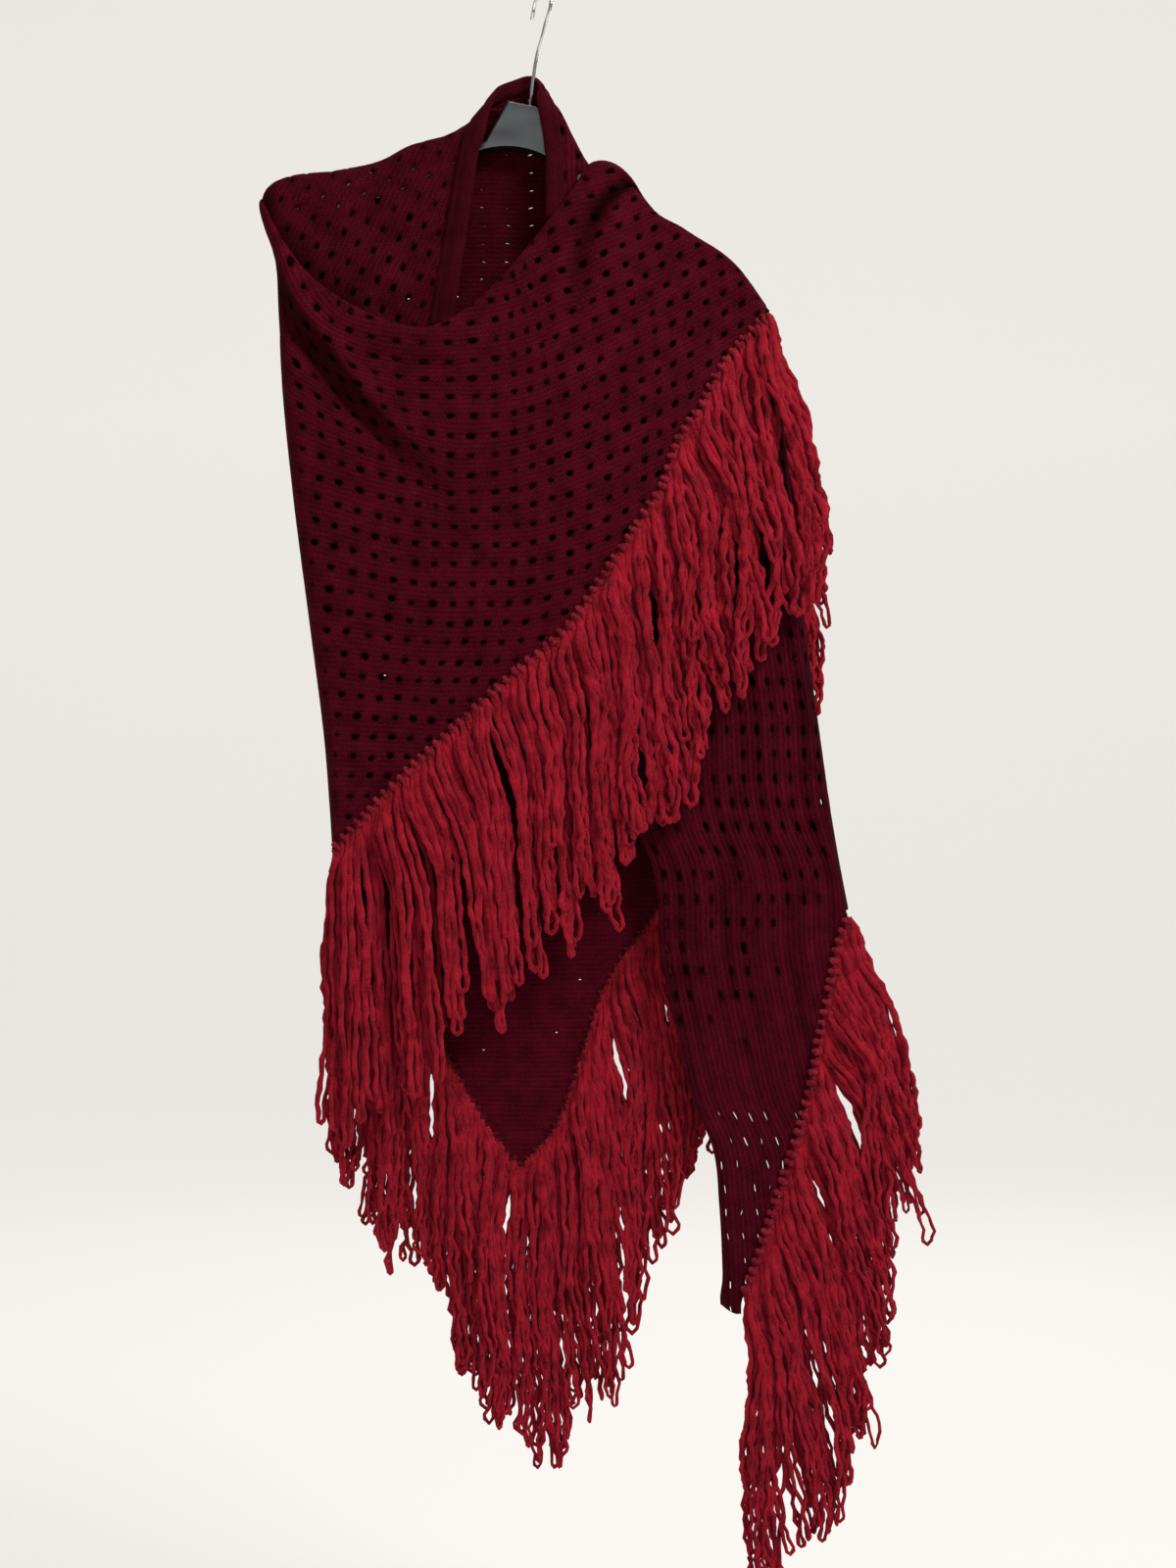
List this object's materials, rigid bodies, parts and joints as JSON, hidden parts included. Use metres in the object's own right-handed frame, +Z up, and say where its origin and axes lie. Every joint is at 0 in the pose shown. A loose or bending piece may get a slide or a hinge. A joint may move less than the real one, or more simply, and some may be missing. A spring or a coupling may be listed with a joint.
{
  "type": "fringed triangular knitted shawl on a clothes hanger",
  "caption": "Large triangular eyelet-knit shawl with looped-yarn fringe, draped over a plastic clothes hanger with a steel hook.",
  "frame": {"origin": "highest inside point of the hanger's hook, where a rail or peg carries it", "axes": "+Z up, -Y towards the front of the garment, +X towards the garment's right shoulder strip as seen from the front"},
  "size_m": [0.5807, 0.0917, 1.4183],
  "materials": {
    "knit": "burgundy fine knit with rows of eyelets",
    "edging": "row of small yarn knots",
    "fringe": "crinkled looped chenille-like yarn",
    "plastic": "glossy black moulded plastic",
    "steel": "bright plated wire"
  },
  "bodies": {
    "root": {"hanger_body": "plastic", "hanger_hook": "steel", "cloth_back": "knit", "cloth_front": "knit", "cloth_cowl": "knit", "cloth_tail": "knit", "cloth_shoulder": "knit", "cloth_drop": "knit", "neck_roll": "knit", "edging_front": "edging", "edging_tail": "edging", "edging_back_left": "edging", "edging_back_right": "edging", "edging_drop": "edging", "fringe_front": "fringe", "fringe_tail": "fringe", "fringe_back_left": "fringe", "fringe_back_right": "fringe", "fringe_drop": "fringe"}
  },
  "joints": []
}
